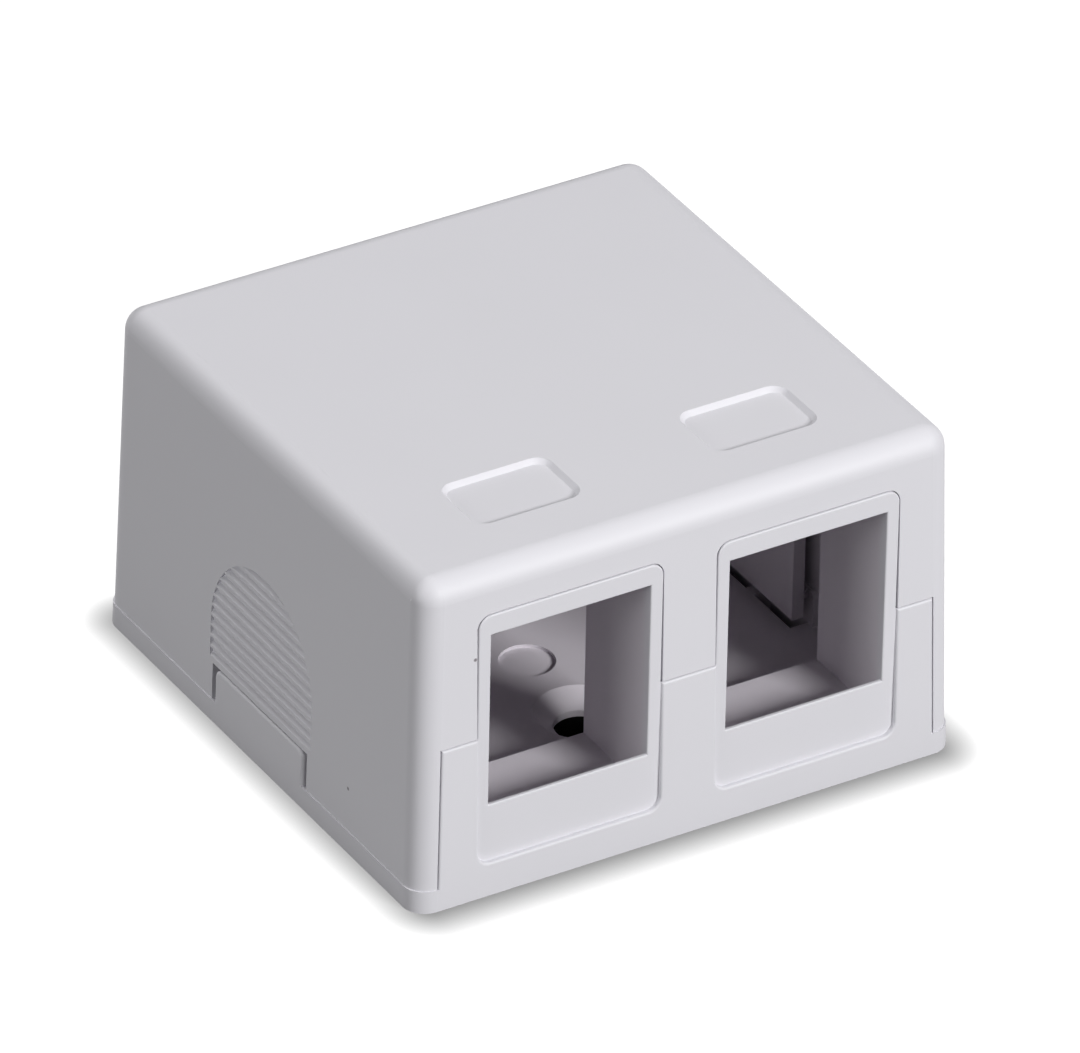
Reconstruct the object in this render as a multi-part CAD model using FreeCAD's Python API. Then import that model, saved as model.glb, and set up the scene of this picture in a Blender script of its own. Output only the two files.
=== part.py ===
import FreeCAD, Part
import math
import os

# Two-port surface mount jack box in two mouldings: a base that carries two
# snap-in jack ports, and a cover that snaps down over it.
# Millimetres, Z up. The origin is the middle of the footprint, on the surface
# that the box stands on. The ports face -Y.

V = FreeCAD.Vector
X_AXIS = V(1, 0, 0)
Z_AXIS = V(0, 0, 1)

# ---- Whole box ---------------------------------------------------------------
BOX_WIDTH = 51.0          # X, at the foot
BOX_DEPTH = 51.0          # Y, at the foot
BOX_HEIGHT = 30.5         # foot to the top of the roof
DRAFT_DEG = 1.27          # every outer wall leans in by this much
OUTER_RADIUS = 2.0        # upright corners and the rim of the roof

# ---- Walls and clearances ----------------------------------------------------
COVER_REVEAL = 0.1        # how far the cover lies back from the base all round
COVER_WALL = 1.95
ROOF_THICKNESS = 1.8
INNER_RADIUS = 0.6        # inside corners of the cover
PLATE_THICKNESS = 2.0     # base plate, seen all round under the cover
FIT_GAP = 0.1             # sideways play between cover and base
SEAM_GAP = 0.1            # upright play where a cover edge ends over the base

# ---- Front wall of the base --------------------------------------------------
FRONT_WALL = 2.0          # thickness
SHOULDER_HEIGHT = 15.0    # top of the front wall, between and beside the ports
SHOULDER_ROUND = 0.2      # rounding of its outer edges and of the surrounds' steps

# ---- Jack ports --------------------------------------------------------------
PORT_PITCH = 22.2         # centre to centre
PORT_WIDTH = 14.8         # opening in the face
PORT_HEIGHT = 16.2
PORT_SILL = 8.36          # lower edge of the opening above the foot
SURROUND_SIDE = 1.15      # the rounded rectangle round an opening is this much wider per side
SURROUND_HEAD = 1.89      # and this much higher
SURROUND_BOTTOM = 3.05    # its lower edge above the foot
SURROUND_RADIUS = 1.2
SURROUND_SETBACK = 0.55   # from the foot of the front to the surround, which stands upright
SURROUND_ROUND = 0.15     # rounding of its outline and of the opening in it
PORT_LIP = 2.0            # thickness of the framed face that a jack's latch hooks behind
SILL_LAND = 0.3           # level strip along the sill before it slopes down inwards
SILL_SLOPE_DEG = 45.0     # lets a jack tilt in over the sill
TUNNEL_DEPTH = 10.4       # foot of the front to the back of the tunnel
TUNNEL_FLOOR = 4.85       # top of the tunnel's floor above the foot
LATCH_BAR = 2.1           # cross bar at the top back that a jack's latch catches
CORE_WALL = 1.4           # plastic left round the hollow under a tunnel's floor

# ---- Plate details -----------------------------------------------------------
SCREW_PITCH = 17.4        # two screw holes on the middle line, front to back
SCREW_HOLE_RADIUS = 2.3
SCREW_HEAD_RADIUS = 4.0
SCREW_SINK_DEPTH = 1.4
GATE_RADIUS = 2.4         # shallow round well in the middle of the floor
GATE_DEPTH = 0.3

# ---- Side tabs of the base and their catches ---------------------------------
TAB_WIDTH = 14.3          # Y
TAB_TOP = 5.3
TAB_THICKNESS = 2.4
TAB_CORNER = 0.8
TAB_ROUND = 0.3           # rounding of its outer edges
TAB_SIDE_GAP = 0.55       # between the tab's ends and the cover's notch
TAB_TOP_GAP = 0.15
CATCH_HEIGHT = 0.9        # wedge along the inside top of the tab
CATCH_REACH = 0.45
CATCH_GAP = 0.1           # between the tip of a catch and the tip of its hook
CATCH_LENGTH = 5.4
SLOT_LENGTH = 5.8         # slot through the plate under each catch
SLOT_WIDTH = 1.7
SLOT_BRIDGE = 1.2         # plate left between the two slots of a side

# ---- Snap tongues of the cover -----------------------------------------------
TONGUE_THICKNESS = 1.1
TONGUE_WIDTH = 14.4       # Y
TONGUE_BOTTOM = 3.3
TONGUE_TOP = 19.4
HOOK_HEIGHT = 0.8
TONGUE_WEB = 1.0          # thickness of the two webs and the shelf to the wall
TONGUE_WEB_PITCH = 7.0
TONGUE_WEB_BOTTOM = 8.0

# ---- Ribbed finger grips on both side walls ----------------------------------
GRIP_HALF_WIDTH = 8.2     # also the radius of the round top
GRIP_SPRING = 9.65        # height where the round top starts
RIB_PITCH = 1.01
RIB_COUNT = 12
RIB_FIRST = 5.9           # height of the lowest rib's crest
GROOVE_DEPTH = 0.3
GROOVE_MOUTH = 0.8
GROOVE_FLOOR = 0.25

# ---- Label pockets in the roof -----------------------------------------------
LABEL_WIDTH = 10.1        # at the roof, from where its walls slope in at 45 degrees
LABEL_LENGTH = 6.7
LABEL_RADIUS = 1.4
LABEL_DEPTH = 0.4
LABEL_SETBACK = 10.25     # foot of the front to the middle of a pocket

# ---- Thin break-out for the cable in the back wall ---------------------------
BREAKOUT_WIDTH = 15.0
BREAKOUT_HEIGHT = 11.0    # above the cover's lower edge
BREAKOUT_WEB = 0.7        # plastic left to break

# ---- Sizes that follow from the ones above -----------------------------------
LEAN = math.tan(math.radians(DRAFT_DEG))
PAST = 2.0                # how far a cutting solid runs past what it cuts
FRONT_Y = -BOX_DEPTH / 2
SURROUND_Y = FRONT_Y + SURROUND_SETBACK
TOWER_FRAME = SURROUND_SIDE / 2   # where front wall and tower meet beside a port
TUNNEL_BACK_Y = FRONT_Y + TUNNEL_DEPTH
PORT_CENTRES = (-PORT_PITCH / 2, PORT_PITCH / 2)
PORT_TOP = PORT_SILL + PORT_HEIGHT
SURROUND_WIDTH = PORT_WIDTH + 2 * SURROUND_SIDE
SURROUND_TOP = PORT_TOP + SURROUND_HEAD
TAB_INNER_X = BOX_WIDTH / 2 - TAB_THICKNESS
HOOK_TIP_X = TAB_INNER_X - CATCH_REACH - CATCH_GAP
TONGUE_OUTER_X = HOOK_TIP_X - CATCH_REACH
TONGUE_INNER_X = TONGUE_OUTER_X - TONGUE_THICKNESS


def box(x0, x1, y0, y1, z0, z1):
    """Upright box between two corners."""
    return Part.makeBox(x1 - x0, y1 - y0, z1 - z0, V(x0, y0, z0))


def solid_from_rings(lower, upper):
    """Flat-sided solid between two rings of corners that run anticlockwise from above."""
    count = len(lower)
    outlines = [lower[::-1], upper]
    for i in range(count):
        j = (i + 1) % count
        outlines.append([lower[i], lower[j], upper[j], upper[i]])
    faces = [Part.Face(Part.makePolygon(ring + ring[:1])) for ring in outlines]
    return Part.Solid(Part.Shell(faces))


def leaning_ring(inset, z):
    """Corners of the box's outline at height z, drawn in by inset."""
    hx = BOX_WIDTH / 2 - inset - LEAN * z
    hy = BOX_DEPTH / 2 - inset - LEAN * z
    return [V(-hx, -hy, z), V(hx, -hy, z), V(hx, hy, z), V(-hx, hy, z)]


def edges_where(shape, test):
    """Edges of a shape whose end points all pass the test."""
    return [e for e in shape.Edges if test([v.Point for v in e.Vertexes])]


def drafted_block(inset, z0, z1, radius, round_rim=False):
    """The box's drafted outer form, drawn in by inset, between two heights."""
    block = solid_from_rings(leaning_ring(inset, z0), leaning_ring(inset, z1))
    low_limit = z1 - 1e-4 if round_rim else z1 + 1

    def is_rounded(points):
        upright = abs(points[0].z - points[-1].z) > (z1 - z0) / 2
        return upright or min(p.z for p in points) > low_limit

    return block.makeFillet(radius, edges_where(block, is_rounded))


def front_slab(side_inset, back, z0, z1, front=0.0):
    """Leaning slab just inside the front face, from depth front to depth back."""
    rings = []
    for z in (z0, z1):
        hx = BOX_WIDTH / 2 - side_inset - LEAN * z
        y = FRONT_Y + LEAN * z
        rings.append([V(-hx, y + front, z), V(hx, y + front, z), V(hx, y + back, z), V(-hx, y + back, z)])
    return solid_from_rings(*rings)


def rounded_face_xz(cx, width, z0, z1, radius, y):
    """Rounded rectangle standing in an XZ plane, as a face."""
    hx = width / 2
    r = min(radius, hx * 0.99, (z1 - z0) * 0.49)
    k = r * (1 - math.sqrt(0.5))
    left, right = cx - hx, cx + hx
    edges = [
        Part.makeLine(V(left + r, y, z0), V(right - r, y, z0)),
        Part.Arc(V(right - r, y, z0), V(right - k, y, z0 + k), V(right, y, z0 + r)).toShape(),
        Part.makeLine(V(right, y, z0 + r), V(right, y, z1 - r)),
        Part.Arc(V(right, y, z1 - r), V(right - k, y, z1 - k), V(right - r, y, z1)).toShape(),
        Part.makeLine(V(right - r, y, z1), V(left + r, y, z1)),
        Part.Arc(V(left + r, y, z1), V(left + k, y, z1 - k), V(left, y, z1 - r)).toShape(),
        Part.makeLine(V(left, y, z1 - r), V(left, y, z0 + r)),
        Part.Arc(V(left, y, z0 + r), V(left + k, y, z0 + k), V(left + r, y, z0)).toShape(),
    ]
    return Part.Face(Part.Wire(edges))


def surround_prism(cx, grow, front, back):
    """Outline of a port's surround, grown all round, swept along Y."""
    face = rounded_face_xz(cx, SURROUND_WIDTH + 2 * grow, SURROUND_BOTTOM - grow,
                           SURROUND_TOP + grow, SURROUND_RADIUS + grow, front)
    return face.extrude(V(0, back - front, 0))


def mirrored(shape):
    """The same shape on the other side of the box's middle plane."""
    return shape.mirror(V(0, 0, 0), X_AXIS)


# ---- Base --------------------------------------------------------------------

def base_plate():
    """Flat plate whose edge carries on the walls' draft."""
    return drafted_block(0, 0, PLATE_THICKNESS, OUTER_RADIUS)


def front_wall():
    """Front wall up to the shoulders, stepped back round the surrounds, outer edges rounded."""
    slab = front_slab(COVER_REVEAL + COVER_WALL + FIT_GAP, FRONT_WALL, 0, SHOULDER_HEIGHT)
    steps = [surround_prism(cx, 0, FRONT_Y - PAST, SURROUND_Y) for cx in PORT_CENTRES]
    wall = slab.cut(steps)

    def is_outer_edge(points):
        on_front = all(abs(p.y - FRONT_Y - LEAN * p.z) < 1e-4 for p in points)
        return on_front and max(p.z for p in points) > PLATE_THICKNESS

    wall = wall.makeFillet(SHOULDER_ROUND, edges_where(wall, is_outer_edge))
    hx = PORT_WIDTH / 2 + TOWER_FRAME
    rooms = [box(cx - hx, cx + hx, FRONT_Y - PAST, FRONT_Y + FRONT_WALL + PAST, TUNNEL_FLOOR,
                 SHOULDER_HEIGHT + PAST) for cx in PORT_CENTRES]
    return wall.cut(rooms)


def port_tower(cx):
    """Walls of one tunnel: two cheeks, a floor and a frame round the opening."""
    tower = surround_prism(cx, 0, SURROUND_Y, TUNNEL_BACK_Y).cut(opening_prism(cx))
    face_edges = edges_where(tower, lambda p: max(q.y for q in p) < SURROUND_Y + 1e-4)
    tower = tower.makeFillet(SURROUND_ROUND, face_edges)
    hx = SURROUND_WIDTH / 2
    foot = box(cx - hx, cx + hx, SURROUND_Y + SURROUND_RADIUS, TUNNEL_BACK_Y,
               PLATE_THICKNESS / 2, TUNNEL_FLOOR)
    return tower.fuse(foot)


def opening_prism(cx):
    """Way in for a jack: level over the sill, then down a slope to the tunnel's floor."""
    land_y = SURROUND_Y + SILL_LAND
    slope_y = land_y + (PORT_SILL - TUNNEL_FLOOR) / math.tan(math.radians(SILL_SLOPE_DEG))
    section = [(FRONT_Y - PAST, PORT_SILL), (land_y, PORT_SILL), (slope_y, TUNNEL_FLOOR),
               (TUNNEL_BACK_Y + PAST, TUNNEL_FLOOR), (TUNNEL_BACK_Y + PAST, PORT_TOP),
               (FRONT_Y - PAST, PORT_TOP)]
    ring = [V(cx - PORT_WIDTH / 2, y, z) for y, z in section]
    return Part.Face(Part.makePolygon(ring + ring[:1])).extrude(V(PORT_WIDTH, 0, 0))


def tower_cuts(cx):
    """Latch window in the top of a tower, and the hollow under its floor."""
    hx = PORT_WIDTH / 2
    front_y = SURROUND_Y + PORT_LIP
    window = box(cx - hx, cx + hx, front_y, TUNNEL_BACK_Y - LATCH_BAR, PORT_SILL, SURROUND_TOP + PAST)
    hollow = box(cx - hx + CORE_WALL, cx + hx - CORE_WALL, front_y + CORE_WALL,
                 TUNNEL_BACK_Y - CORE_WALL, -PAST, TUNNEL_FLOOR - PLATE_THICKNESS)
    return [window, hollow]


def side_tab():
    """Upright tab on the -X side, flush with the cover's wall round it."""
    outline = tab_outline(TAB_WIDTH / 2, TAB_TOP, TAB_CORNER)
    tab = outline.extrude(V(TAB_THICKNESS + PAST, 0, 0))
    tab = tab.common(drafted_block(0, 0, TAB_TOP + PAST, OUTER_RADIUS))

    def is_outer_edge(points):
        outside = all(abs(p.x + BOX_WIDTH / 2 - LEAN * p.z) < 1e-4 for p in points)
        return outside and max(p.z for p in points) > TAB_CORNER

    return tab.makeFillet(TAB_ROUND, edges_where(tab, is_outer_edge))


def tab_outline(half, top, corner):
    """Tab seen from the side: upright rectangle with two round top corners."""
    x = -BOX_WIDTH / 2 - PAST
    k = corner * (1 - math.sqrt(0.5))
    edges = [
        Part.makeLine(V(x, -half, 0), V(x, half, 0)),
        Part.makeLine(V(x, half, 0), V(x, half, top - corner)),
        Part.Arc(V(x, half, top - corner), V(x, half - k, top - k), V(x, half - corner, top)).toShape(),
        Part.makeLine(V(x, half - corner, top), V(x, -half + corner, top)),
        Part.Arc(V(x, -half + corner, top), V(x, -half + k, top - k), V(x, -half, top - corner)).toShape(),
        Part.makeLine(V(x, -half, top - corner), V(x, -half, 0)),
    ]
    return Part.Face(Part.Wire(edges))


def wedge_along_y(corners, y0, y1):
    """Prism along Y from its section's (x, z) corners."""
    ring = [V(x, y0, z) for x, z in corners]
    return Part.Face(Part.makePolygon(ring + ring[:1])).extrude(V(0, y1 - y0, 0))


def side_catches():
    """Two wedges on the inside of the -X tab that hold the cover's hooks."""
    root = -TAB_INNER_X
    tip = root + CATCH_REACH
    low = TAB_TOP - CATCH_HEIGHT
    middle = (SLOT_BRIDGE + SLOT_LENGTH) / 2
    section = [(root - CATCH_REACH, low), (tip, low), (tip, low + CATCH_REACH / 2),
               (root, TAB_TOP), (root - CATCH_REACH, TAB_TOP)]
    return [wedge_along_y(section, s * middle - CATCH_LENGTH / 2, s * middle + CATCH_LENGTH / 2)
            for s in (-1, 1)]


def catch_slots():
    """Slots through the plate below the catches of the -X side."""
    x0 = -TAB_INNER_X
    near = SLOT_BRIDGE / 2
    far = near + SLOT_LENGTH
    return [box(x0, x0 + SLOT_WIDTH, y0, y1, -PAST, PLATE_THICKNESS + PAST)
            for y0, y1 in ((-far, -near), (near, far))]


def screw_hole(y):
    """Countersunk hole through the plate."""
    shaft = Part.makeCylinder(SCREW_HOLE_RADIUS, PLATE_THICKNESS + 2 * PAST, V(0, y, -PAST), Z_AXIS)
    sink = Part.makeCone(SCREW_HOLE_RADIUS, SCREW_HEAD_RADIUS, SCREW_SINK_DEPTH,
                         V(0, y, PLATE_THICKNESS - SCREW_SINK_DEPTH), Z_AXIS)
    return shaft.fuse(sink)


def make_base():
    """Plate, front wall, two port towers and two side tabs in one moulding."""
    tab = side_tab()
    solids = [front_wall(), tab, mirrored(tab)]
    solids += [port_tower(cx) for cx in PORT_CENTRES]
    for catch in side_catches():
        solids += [catch, mirrored(catch)]
    body = base_plate().multiFuse(solids)
    cuts = [screw_hole(-SCREW_PITCH / 2), screw_hole(SCREW_PITCH / 2)]
    cuts.append(Part.makeCylinder(GATE_RADIUS, PAST, V(0, 0, PLATE_THICKNESS - GATE_DEPTH), Z_AXIS))
    for slot in catch_slots():
        cuts += [slot, mirrored(slot)]
    for cx in PORT_CENTRES:
        cuts += tower_cuts(cx)
    return body.cut(cuts).removeSplitter()


# ---- Cover -------------------------------------------------------------------

def cover_shell():
    """Drafted box, rounded outside, open at the foot."""
    outer = drafted_block(COVER_REVEAL, PLATE_THICKNESS, BOX_HEIGHT, OUTER_RADIUS, True)
    inner = drafted_block(COVER_REVEAL + COVER_WALL, PLATE_THICKNESS - PAST,
                          BOX_HEIGHT - ROOF_THICKNESS, INNER_RADIUS, True)
    return outer.cut(inner)


def front_cuts():
    """Room in the front wall for the base's wall and for the two surrounds."""
    back = COVER_REVEAL + COVER_WALL + INNER_RADIUS
    low = front_slab(COVER_REVEAL + COVER_WALL, back, 0, SHOULDER_HEIGHT + SEAM_GAP, -PAST)
    deep_y = FRONT_Y + LEAN * BOX_HEIGHT + back
    return [low] + [surround_prism(cx, FIT_GAP, FRONT_Y - PAST, deep_y) for cx in PORT_CENTRES]


def side_notch():
    """Notch in the foot of the -X wall that the base's tab fills."""
    half = TAB_WIDTH / 2 + TAB_SIDE_GAP
    x0 = -BOX_WIDTH / 2 - PAST
    return box(x0, -BOX_WIDTH / 2 + COVER_WALL + PAST, -half, half, 0, TAB_TOP + TAB_TOP_GAP)


def grip_grooves():
    """Grooves between the ribs of the -X grip, ended by its round-topped outline."""
    half = GRIP_HALF_WIDTH
    x0 = -BOX_WIDTH / 2 - PAST
    foot = TAB_TOP + TAB_TOP_GAP
    edges = [
        Part.makeLine(V(x0, -half, foot), V(x0, half, foot)),
        Part.makeLine(V(x0, half, foot), V(x0, half, GRIP_SPRING)),
        Part.Arc(V(x0, half, GRIP_SPRING), V(x0, 0, GRIP_SPRING + half), V(x0, -half, GRIP_SPRING)).toShape(),
        Part.makeLine(V(x0, -half, GRIP_SPRING), V(x0, -half, foot)),
    ]
    outline = Part.Face(Part.Wire(edges)).extrude(V(COVER_WALL + PAST, 0, 0))
    grooves = []
    for i in range(RIB_COUNT):
        z = RIB_FIRST + (i + 0.5) * RIB_PITCH
        wall_x = -BOX_WIDTH / 2 + COVER_REVEAL + LEAN * z
        section = [(wall_x - PAST / 2, z - GROOVE_MOUTH / 2), (wall_x, z - GROOVE_MOUTH / 2),
                   (wall_x + GROOVE_DEPTH, z - GROOVE_FLOOR / 2),
                   (wall_x + GROOVE_DEPTH, z + GROOVE_FLOOR / 2),
                   (wall_x, z + GROOVE_MOUTH / 2), (wall_x - PAST / 2, z + GROOVE_MOUTH / 2)]
        groove = wedge_along_y(section, -half - PAST, half + PAST).common(outline)
        if groove.Volume > 0:
            grooves.append(groove)
    return grooves


def label_pocket(cx):
    """Shallow rounded pocket in the roof above one port, its walls sloped."""
    y = FRONT_Y + LABEL_SETBACK
    pocket = box(cx - LABEL_WIDTH / 2, cx + LABEL_WIDTH / 2, y - LABEL_LENGTH / 2,
                 y + LABEL_LENGTH / 2, BOX_HEIGHT - LABEL_DEPTH, BOX_HEIGHT + PAST)
    upright = edges_where(pocket, lambda p: abs(p[0].z - p[-1].z) > LABEL_DEPTH)
    pocket = pocket.makeFillet(LABEL_RADIUS, upright)
    return pocket.makeChamfer(LABEL_DEPTH, edges_where(pocket, lambda p: max(q.z for q in p) < BOX_HEIGHT))


def breakout_thinning():
    """Round-topped recess inside the back wall that leaves a thin web."""
    half = BREAKOUT_WIDTH / 2
    outer_y = BOX_DEPTH / 2 - COVER_REVEAL - LEAN * (PLATE_THICKNESS + BREAKOUT_HEIGHT)
    y0 = outer_y - COVER_WALL - PAST
    y1 = outer_y - BREAKOUT_WEB
    spring = PLATE_THICKNESS + BREAKOUT_HEIGHT - half
    edges = [
        Part.makeLine(V(-half, y0, 0), V(half, y0, 0)),
        Part.makeLine(V(half, y0, 0), V(half, y0, spring)),
        Part.Arc(V(half, y0, spring), V(0, y0, spring + half), V(-half, y0, spring)).toShape(),
        Part.makeLine(V(-half, y0, spring), V(-half, y0, 0)),
    ]
    return Part.Face(Part.Wire(edges)).extrude(V(0, y1 - y0, 0))


def snap_tongue():
    """Hooked tongue inside the -X wall, held off it by two webs and a shelf."""
    half = TONGUE_WIDTH / 2
    outer, inner = -TONGUE_OUTER_X, -TONGUE_INNER_X
    into_wall = -BOX_WIDTH / 2 + COVER_WALL / 2 + LEAN * TONGUE_TOP
    section = [(outer, TONGUE_BOTTOM), (inner, TONGUE_BOTTOM), (inner, TONGUE_TOP),
               (into_wall, TONGUE_TOP), (into_wall, TONGUE_TOP - TONGUE_WEB),
               (outer, TONGUE_TOP - TONGUE_WEB)]
    pieces = [wedge_along_y(section, -half, half)]
    hook = [(outer, TONGUE_BOTTOM), (outer - CATCH_REACH / 2, TONGUE_BOTTOM),
            (outer - CATCH_REACH, TONGUE_BOTTOM + HOOK_HEIGHT / 2),
            (outer - CATCH_REACH, TONGUE_BOTTOM + HOOK_HEIGHT), (outer, TONGUE_BOTTOM + HOOK_HEIGHT)]
    middle = (SLOT_BRIDGE + SLOT_LENGTH) / 2
    for s in (-1, 1):
        pieces.append(wedge_along_y(hook, s * middle - CATCH_LENGTH / 2, s * middle + CATCH_LENGTH / 2))
        web_y = s * TONGUE_WEB_PITCH / 2 - TONGUE_WEB / 2
        pieces.append(box(into_wall, outer, web_y, web_y + TONGUE_WEB, TONGUE_WEB_BOTTOM, TONGUE_TOP))
    return pieces[0].multiFuse(pieces[1:])


def make_cover():
    """Shell with its front cut-outs, grips, label pockets and snap tongues."""
    cuts = front_cuts() + [breakout_thinning()]
    cuts += [label_pocket(cx) for cx in PORT_CENTRES]
    for cut in [side_notch()] + grip_grooves():
        cuts += [cut, mirrored(cut)]
    tongue = snap_tongue()
    return cover_shell().cut(cuts).multiFuse([tongue, mirrored(tongue)]).removeSplitter()


os.makedirs("parts", exist_ok=True)
for name, shape in (("base", make_base()), ("cover", make_cover())):
    solids = shape.Solids
    print(name, "solids", len(solids), "valid", shape.isValid(),
          "volume", round(shape.Volume, 1), "mm3", shape.BoundBox)
    shape.exportStep("parts/" + name + ".step")
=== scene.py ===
# %% [markdown]
# # A two-port surface mount jack box
# The object is a small white box that holds two network jacks. It comes apart into two plastic
# mouldings: a base with the jack ports, and a cover that clips down over it. Their shapes are
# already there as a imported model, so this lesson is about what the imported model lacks: how satin
# plastic takes light, and how a product picture is lit.

# %% Load the two mouldings
import math

import bpy
import numpy as np
from mathutils import Matrix, Vector


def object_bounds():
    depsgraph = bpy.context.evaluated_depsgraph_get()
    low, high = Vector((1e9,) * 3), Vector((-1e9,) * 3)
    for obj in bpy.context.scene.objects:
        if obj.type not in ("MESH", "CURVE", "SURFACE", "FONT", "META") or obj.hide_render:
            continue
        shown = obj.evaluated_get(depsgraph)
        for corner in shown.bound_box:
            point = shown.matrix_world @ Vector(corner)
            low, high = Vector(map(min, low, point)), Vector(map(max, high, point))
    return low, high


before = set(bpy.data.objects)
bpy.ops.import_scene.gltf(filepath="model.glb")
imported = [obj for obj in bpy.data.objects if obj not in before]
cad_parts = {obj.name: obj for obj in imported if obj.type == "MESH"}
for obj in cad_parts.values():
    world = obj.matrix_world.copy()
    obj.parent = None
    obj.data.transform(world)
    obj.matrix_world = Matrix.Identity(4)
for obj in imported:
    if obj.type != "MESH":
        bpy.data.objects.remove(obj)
cad_low, cad_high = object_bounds()
MM = 0.001
base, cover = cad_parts["base"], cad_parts["cover"]
print("box in mm:", [round(size / MM, 2) for size in cad_high - cad_low])

# %% [markdown]
# ## The camera
# A product picture is taken from far away with a long lens, which keeps the box's upright edges
# nearly parallel. The view is written as it would be set in a studio: which way the lens looks,
# how far off it stands, and what point it aims at. The three axes of the camera follow from that.
# An Euler rotation would do as well, but the axes are easier to check with a pencil.

# %% Set up the camera
VIEW_AZIMUTH = math.radians(-31.344)    # 0 looks straight at the ports, negative from their left
VIEW_ELEVATION = math.radians(32.693)
VIEW_ROLL = math.radians(1.174)         # the camera's own lean
VIEW_DISTANCE = 1.17188
VIEW_AIM = Vector((0.655, -0.524, 15.135)) * MM
LENS_MM = 479.38
SENSOR_MM = 36.0


def direction(azimuth, elevation):
    """Unit vector from the object towards a place seen at that azimuth and height angle."""
    level = math.cos(elevation)
    return Vector((math.sin(azimuth) * level, -math.cos(azimuth) * level, math.sin(elevation)))


def camera_matrix(aim, backward, distance, roll):
    """Camera axes: right is level, up is square to it and the view, then both lean by roll."""
    right = Vector((0, 0, 1)).cross(backward).normalized()
    up = backward.cross(right)
    leaning_right = right * math.cos(roll) + up * math.sin(roll)
    leaning_up = up * math.cos(roll) - right * math.sin(roll)
    axes = Matrix((leaning_right, leaning_up, backward)).transposed().to_4x4()
    return Matrix.Translation(aim + backward * distance) @ axes


camera_data = bpy.data.cameras.new("product_camera")
camera_data.sensor_width = SENSOR_MM
camera_data.lens = LENS_MM
camera = bpy.data.objects.new("product_camera", camera_data)
camera.matrix_world = camera_matrix(
    VIEW_AIM, direction(VIEW_AZIMUTH, VIEW_ELEVATION), VIEW_DISTANCE, VIEW_ROLL)
bpy.context.scene.collection.objects.link(camera)
bpy.context.scene.camera = camera
print("camera at", [round(v, 4) for v in camera.matrix_world.translation])

# %% [markdown]
# ## Shader maths as plain expressions
# A procedural material is a sum: a tone, plus a faint cloudiness, minus a few specks. In the node
# editor such a sum becomes a tangle of Math nodes. Here a socket is wrapped in a small class, so
# that `1 - mask` adds the nodes by itself. Colours can't take that road, because a Math node turns
# them grey, so they are blended by a Mix node. Every other node comes from one method.

# %% A socket that understands plus and minus
class Value:
    """One output of a node. Sums, differences and products of it add Math nodes."""

    def __init__(self, tree, socket):
        self.tree = tree
        self.socket = socket

    def math(self, operation, first, second):
        node = self.tree.nodes.new("ShaderNodeMath")
        node.operation = operation
        for socket, value in zip(node.inputs, (first, second)):
            connect(self.tree, socket, value)
        return Value(self.tree, node.outputs[0])

    def __add__(self, other):
        return self.math("ADD", self, other)

    __radd__ = __add__

    def __sub__(self, other):
        return self.math("SUBTRACT", self, other)

    def __rsub__(self, other):
        return self.math("SUBTRACT", other, self)

    def __mul__(self, other):
        return self.math("MULTIPLY", self, other)

    __rmul__ = __mul__

    def __truediv__(self, other):
        return self.math("DIVIDE", self, other)

    def larger(self, other):
        return self.math("MAXIMUM", self, other)

    def smaller(self, other):
        return self.math("MINIMUM", self, other)

    def power(self, other):
        return self.math("POWER", self, other)

    def below(self, other):
        """1 where this value lies under the other, else 0."""
        return self.math("LESS_THAN", self, other)


def connect(tree, socket, value):
    """Give a socket a number, a colour or the output of another node."""
    if isinstance(value, Value):
        tree.links.new(value.socket, socket)
    else:
        socket.default_value = value


def pick(sockets, key):
    """The socket of that number, or the switched-on one of that name."""
    if isinstance(key, int):
        return sockets[key]
    return next(socket for socket in sockets if socket.name == key and socket.enabled)


class NodeTree:
    """A node tree that is written as a list of calls."""

    def __init__(self, tree):
        self.tree = tree
        tree.nodes.clear()

    def node(self, kind, settings=None, sockets=None, output=0):
        """Add a node: first its settings, then the values or links of its sockets."""
        node = self.tree.nodes.new(kind)
        for name, setting in (settings or {}).items():
            setattr(node, name, setting)
        for key, value in (sockets or {}).items():
            connect(self.tree, pick(node.inputs, key), value)
        return Value(self.tree, pick(node.outputs, output)) if node.outputs else None


print("sockets now take + - * / and larger, smaller, power and below")

# %% [markdown]
# ## A white room
# The box is shown against plain white, but a room as bright as that would flatten it. Light Path
# parts the two: a ray that comes straight from the camera, or by way of a mirror or clear glass,
# sees pure white, and every other ray sees a dim room. A white picture laid behind the render
# would serve as well, but it would have no part in what a shiny surface mirrors.

# %% Set up the room
AMBIENT = 0.06            # light from all round, thrown back by the walls
WHITE = 1.0               # strength at which the background is pure white


def seen_directly(nodes):
    """1 for rays that look at the backdrop itself or at its mirror image, else 0."""
    camera_ray = nodes.node("ShaderNodeLightPath", output="Is Camera Ray")
    glossy_ray = nodes.node("ShaderNodeLightPath", output="Is Glossy Ray")
    clear_ray = nodes.node("ShaderNodeLightPath", output="Is Transmission Ray")
    return camera_ray.larger(glossy_ray).larger(clear_ray)


world = bpy.data.worlds.new("white_room")
world.use_nodes = True
room = NodeTree(world.node_tree)
dim_room = room.node("ShaderNodeBackground", sockets={"Strength": AMBIENT})
white_room = room.node("ShaderNodeBackground", sockets={"Strength": WHITE})
room_mix = room.node("ShaderNodeMixShader",
                     sockets={"Fac": seen_directly(room), 1: dim_room, 2: white_room})
room.node("ShaderNodeOutputWorld", sockets={"Surface": room_mix})
bpy.context.scene.world = world
print("room lights the box with", AMBIENT, "and shows as", WHITE)

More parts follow.
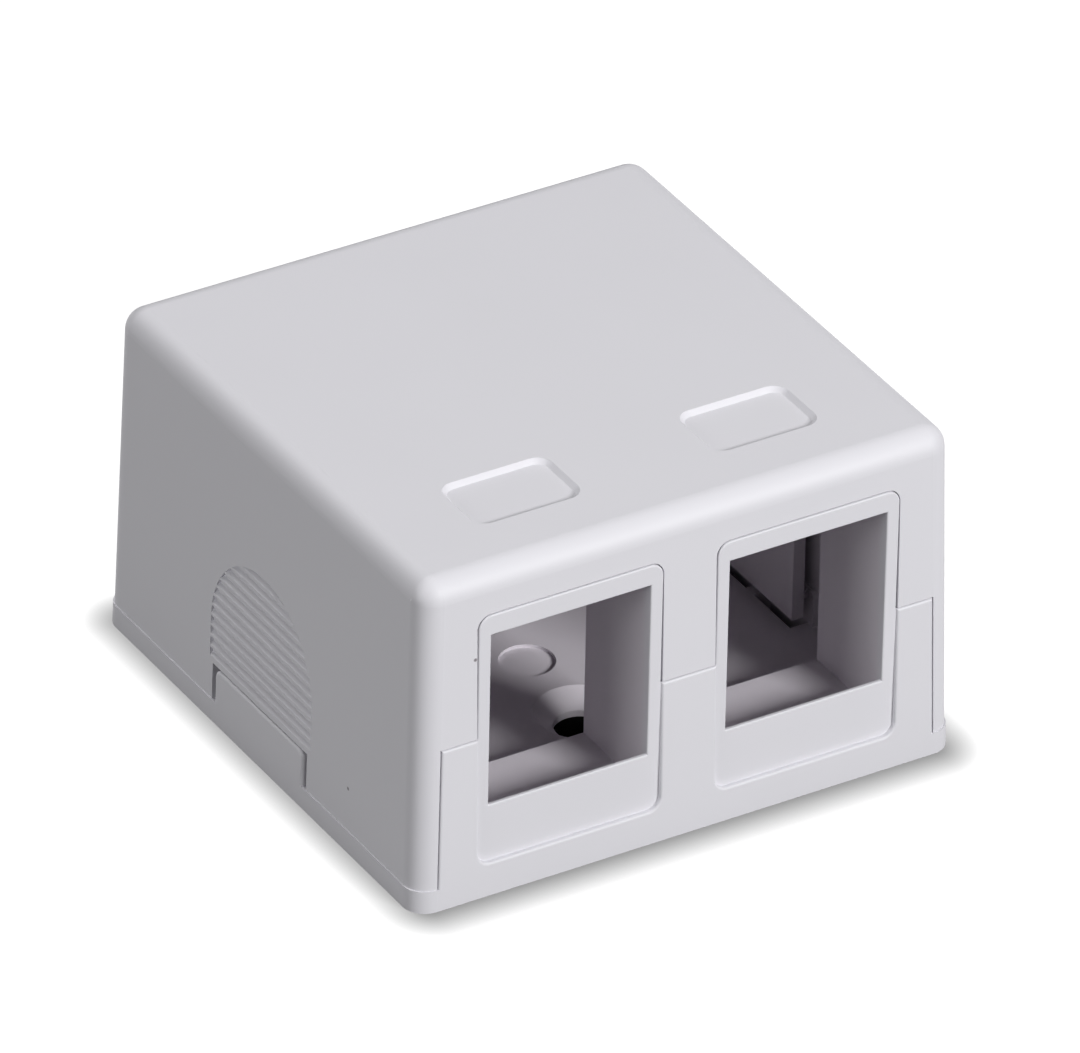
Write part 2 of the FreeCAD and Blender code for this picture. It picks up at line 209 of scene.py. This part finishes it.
# %% [markdown]
# ## The floor
# The box stands on a sheet that runs out of sight and looks pure white. Turning the lamps up would
# do that, but it would bleach the box too. So the sheet is treated like the room: a ray from the
# camera sees it with a glow added, and every other ray sees plain grey paper, which throws little
# light back at the box. Close to the box's foot the glow is held back, which leaves the thin soft
# shadow that ties the box to the table. That shadow is written as a distance from the rounded
# square footprint, each side of it measured in its own reach, since the one in front is wider than
# the others. An Ambient Occlusion node would also darken the foot, but equally on all sides.

# %% Make the floor's paper
FLOOR_TONE = (0.15, 0.15, 0.15, 1.0)
# Painted shade: under the box the paper is set near black, so that the holes in its bottom look as
# dark as deep shade.
UNDER_BOX_SHADE_TONE = (0.006, 0.006, 0.006, 1.0)    # what shows through the holes in the box's bottom
UNDER_INSET = 0.25 * MM   # how far inside the footprint that tone begins
FLOOR_GLOW = 1.00         # added for the camera alone
FOOT_CORNER = 2.0 * MM    # radius of the footprint's corners
FOOT_INNER = cad_high[0] - FOOT_CORNER    # half width of the square that those corners are round
FRONT_REACH = 3.8 * MM    # how far the shadow runs out in front
SIDE_REACH = 2.6 * MM     # and on the other sides
FRONT_SHARE = 0.21        # glow that is left right at the foot in front
SIDE_SHARE = 0.42         # and at the other sides
SHADOW_FALL = 1.15        # above 1 the shadow stays dark for longer
NEVER_ZERO = 1e-9         # keeps a division sound in the middle of the footprint

floor_finish = bpy.data.materials.new("white_paper")
floor_finish.use_nodes = True
paper = NodeTree(floor_finish.node_tree)
place = paper.node("ShaderNodeTexCoord", output="Object")
east, north = (paper.node("ShaderNodeSeparateXYZ", sockets={"Vector": place}, output=axis)
               for axis in "XY")
beside = (east.larger(0 - east) - FOOT_INNER).larger(0)
behind = (north - FOOT_INNER).larger(0)
before = (0 - north - FOOT_INNER).larger(0)
from_core = (beside * beside + behind * behind + before * before).power(0.5)    # Pythagoras
gap = from_core - FOOT_CORNER
frontness = before * before / (from_core * from_core).larger(NEVER_ZERO)
reach = frontness * (FRONT_REACH - SIDE_REACH) + SIDE_REACH
away = (gap / reach).larger(0).smaller(1)
foot_share = frontness * (FRONT_SHARE - SIDE_SHARE) + SIDE_SHARE
open_air = foot_share + (1 - foot_share) * away.power(SHADOW_FALL)
# Painted shade: inside the footprint the paper takes the near-black tone and loses its glow.
painted_shade_under_box = gap.below(-UNDER_INSET)

paper_tone = paper.node("ShaderNodeMix", {"data_type": "RGBA"},
                        {"Factor": painted_shade_under_box, "A": FLOOR_TONE, "B": UNDER_BOX_SHADE_TONE}, output="Result")
plain_paper = paper.node("ShaderNodeBsdfDiffuse", sockets={"Color": paper_tone})
glow = paper.node("ShaderNodeEmission", sockets={"Strength": FLOOR_GLOW})
glowing_paper = paper.node("ShaderNodeAddShader", sockets={0: plain_paper, 1: glow})
glow_share = seen_directly(paper) * open_air * (1 - painted_shade_under_box)
paper_mix = paper.node("ShaderNodeMixShader",
                       sockets={"Fac": glow_share, 1: plain_paper, 2: glowing_paper})
paper.node("ShaderNodeOutputMaterial", sockets={"Surface": paper_mix})
print("shadow in mm:", [round(length / MM, 1) for length in (FRONT_REACH, SIDE_REACH)])

# %% [markdown]
# ## Laying the sheet
# One square face is enough for a floor. It is flat, so more faces would add nothing, and a curved
# sweep isn't needed, because floor and room are the same white and no line shows between them.

# %% Lay the floor
FLOOR_HALF = 1.5          # metres

floor_mesh = bpy.data.meshes.new("floor")
floor_corners = np.array([(-1, -1, 0), (1, -1, 0), (1, 1, 0), (-1, 1, 0)]) * FLOOR_HALF
floor_mesh.from_pydata(floor_corners.tolist(), [], [(0, 1, 2, 3)])
floor_mesh.materials.append(floor_finish)
floor = bpy.data.objects.new("floor", floor_mesh)
bpy.context.scene.collection.objects.link(floor)
print("floor half width:", FLOOR_HALF, "m")

# %% [markdown]
# ## Three soft boxes
# The key stands low on the right of the front. It is low enough to reach through the ports, where
# it lights the middle of the floor and leaves the strip behind each sill in shade, and far enough
# round to pass the left side by. The fill stands on the left, lower and much weaker. It gives the
# left side its tone, lightens the upright corner, and through each port it touches only the first
# few millimetres of the right cheek. The third box hangs overhead, behind the box and a little to
# the left. It lights the roof, and it grazes the left side, where it catches the lower flank of
# every grip groove. One big lamp could light all three faces, but then none of them could be set
# without the others. The rim between roof and front leans towards the key, so it shows as a bright
# line.

# %% Place the soft boxes
KEY_AZIMUTH = math.radians(19)
KEY_ELEVATION = math.radians(28)
KEY_IRRADIANCE = 2.81     # watts per square metre that reach a surface facing it
KEY_SIZE = (0.50, 0.30)   # width and height
FILL_AZIMUTH = math.radians(-79)
FILL_ELEVATION = math.radians(20)
FILL_IRRADIANCE = 0.77
FILL_SIZE = (0.60, 0.50)
TOP_AZIMUTH = math.radians(-170)
TOP_ELEVATION = math.radians(66)
TOP_IRRADIANCE = 1.14
TOP_SIZE = (0.60, 0.60)
LAMP_DISTANCE = 1.4


def soft_box(name, toward, size, irradiance):
    """A rectangular lamp that faces the origin. E = P / (pi d d) gives its power."""
    data = bpy.data.lights.new(name, "AREA")
    data.shape = "RECTANGLE"
    data.size, data.size_y = size
    data.energy = irradiance * math.pi * LAMP_DISTANCE**2
    lamp = bpy.data.objects.new(name, data)
    lamp.matrix_world = camera_matrix(Vector((0, 0, 0)), toward, LAMP_DISTANCE, 0)
    bpy.context.scene.collection.objects.link(lamp)
    print(name, "needs", round(data.energy, 2), "W")


soft_box("key", direction(KEY_AZIMUTH, KEY_ELEVATION), KEY_SIZE, KEY_IRRADIANCE)
soft_box("fill", direction(FILL_AZIMUTH, FILL_ELEVATION), FILL_SIZE, FILL_IRRADIANCE)
soft_box("top", direction(TOP_AZIMUTH, TOP_ELEVATION), TOP_SIZE, TOP_IRRADIANCE)

# %% [markdown]
# ## Satin plastic
# Boxes like this are commonly moulded in ABS, and a finely eroded mould is a common way to a satin
# surface, so the finish is modelled on that. Three things keep it from looking like a flat colour:
# the tone drifts by a hundredth and a half over a centimetre or so, the gloss drifts with it, and
# a grain of about a tenth of a millimetre lies in the normals, where it costs no geometry. A
# painted texture would do as well, but it would need the mesh unwrapped, while noise on Object
# coordinates needs nothing. Inside, the tone is set a shade warmer. A point counts as inside when
# it lies about a millimetre behind all the leaning outer walls, so the same formula serves both
# mouldings. Two small dark specks are placed one by one.
# The inner tone is painted shade: a little darker and warmer, it stands for the tinted shade among
# the walls inside the box.

# %% Make the plastic
PLASTIC_TONE = (0.723, 0.7155, 0.7545)
PLASTIC_IOR = 1.52
ROUGHNESS = 0.52
ROUGHNESS_DRIFT = 0.06    # how much the gloss drifts
TONE_DRIFT = 0.015        # how much the tone drifts to either side
DRIFT_NOISE = {"Scale": 70.0, "Detail": 2.0, "Roughness": 0.5}    # cells of 14 mm
GRAIN_NOISE = {"Scale": 9000.0, "Detail": 1.0}                    # cells of 0.11 mm
GRAIN_BUMP = {"Strength": 0.05, "Distance": 0.02 * MM}
# Painted shade: the inner tone is set darker and warmer for the tinted shade inside the box.
INNER_SHADE_FACTORS = (1.005, 0.965, 0.98)     # inner tone as shares of the outer one
SKIN = 0.7 * MM           # depth at which the inner tone begins
SKIN_FADE = 0.8 * MM      # and over which it takes over
DRAFT_DEG = 1.27          # how far the outer walls lean in
LEAN = math.tan(math.radians(DRAFT_DEG))
SPECK_END = 2             # radii from its middle at which a speck has faded out
SPECK_TONE = (0.22, 0.20, 0.22, 1.0)
SPECKS = (                # middle and radius
    (Vector((-25.27, -14.27, 5.92)) * MM, 0.10 * MM),
    (Vector((-19.93, -24.89, 22.65)) * MM, 0.10 * MM),
)


def shade(tone, factor):
    """A colour made lighter or darker, with full alpha."""
    return tuple(channel * factor for channel in tone) + (1.0,)


def blend(nodes, factor, first, second):
    """Mix two colours by a factor."""
    return nodes.node("ShaderNodeMix", {"data_type": "RGBA"},
                      {"Factor": factor, "A": first, "B": second}, "Result")


def drifting(nodes, tone, drift):
    """A tone that drifts a little to both sides."""
    return blend(nodes, drift, shade(tone, 1 - TONE_DRIFT), shade(tone, 1 + TONE_DRIFT))


def insideness(nodes, place):
    """0 on the outer skin, 1 on everything well behind it. Depth is the least of the distances to
    the leaning side walls, the leaning front and back walls, and the roof."""
    x, y, z = (nodes.node("ShaderNodeSeparateXYZ", {}, {"Vector": place}, axis) for axis in "XYZ")
    wall = cad_high[0] - LEAN * z
    depth = (wall - x.larger(0 - x)).smaller(wall - y.larger(0 - y)).smaller(cad_high[2] - z)
    return ((depth - SKIN) / SKIN_FADE).larger(0).smaller(1)


def satin_plastic(name, tone):
    """Satin plastic on Object coordinates: drifting tone and gloss, and fine grain as bump."""
    material = bpy.data.materials.new(name)
    material.use_nodes = True
    nodes = NodeTree(material.node_tree)
    place = nodes.node("ShaderNodeTexCoord", output="Object")
    drift = nodes.node("ShaderNodeTexNoise", {}, {"Vector": place, **DRIFT_NOISE})
    grain = nodes.node("ShaderNodeTexNoise", {}, {"Vector": place, **GRAIN_NOISE})
    # Painted shade: behind the outer skin the tone turns a little darker and warmer.
    inner_shade_tone = [channel * factor for channel, factor in zip(tone, INNER_SHADE_FACTORS)]
    colour = blend(nodes, insideness(nodes, place),
                   drifting(nodes, tone, drift), drifting(nodes, inner_shade_tone, drift))
    for middle, radius in SPECKS:
        distance = nodes.node("ShaderNodeVectorMath", {"operation": "DISTANCE"},
                              {0: place, 1: middle}, "Value")
        speck = (SPECK_END - distance / radius).larger(0).smaller(1)
        colour = blend(nodes, speck, colour, SPECK_TONE)
    bump = nodes.node("ShaderNodeBump", {}, {"Height": grain, **GRAIN_BUMP})
    shader = nodes.node("ShaderNodeBsdfPrincipled", {}, {
        "Base Color": colour, "Roughness": ROUGHNESS + ROUGHNESS_DRIFT * drift, "Normal": bump,
        "IOR": PLASTIC_IOR})
    nodes.node("ShaderNodeOutputMaterial", {}, {"Surface": shader})
    return material


def dress(part, material):
    """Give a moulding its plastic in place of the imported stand-in."""
    part.data.materials.clear()
    part.data.materials.append(material)
    print(part.name, "wears", material.name)


dress(base, satin_plastic("base_plastic_satin", PLASTIC_TONE))
dress(cover, satin_plastic("cover_plastic_satin", PLASTIC_TONE))

# %% [markdown]
# ## Last settings
# The Standard view transform shows a colour as it is written.

# %% Finish
bpy.context.scene.view_settings.view_transform = "Standard"
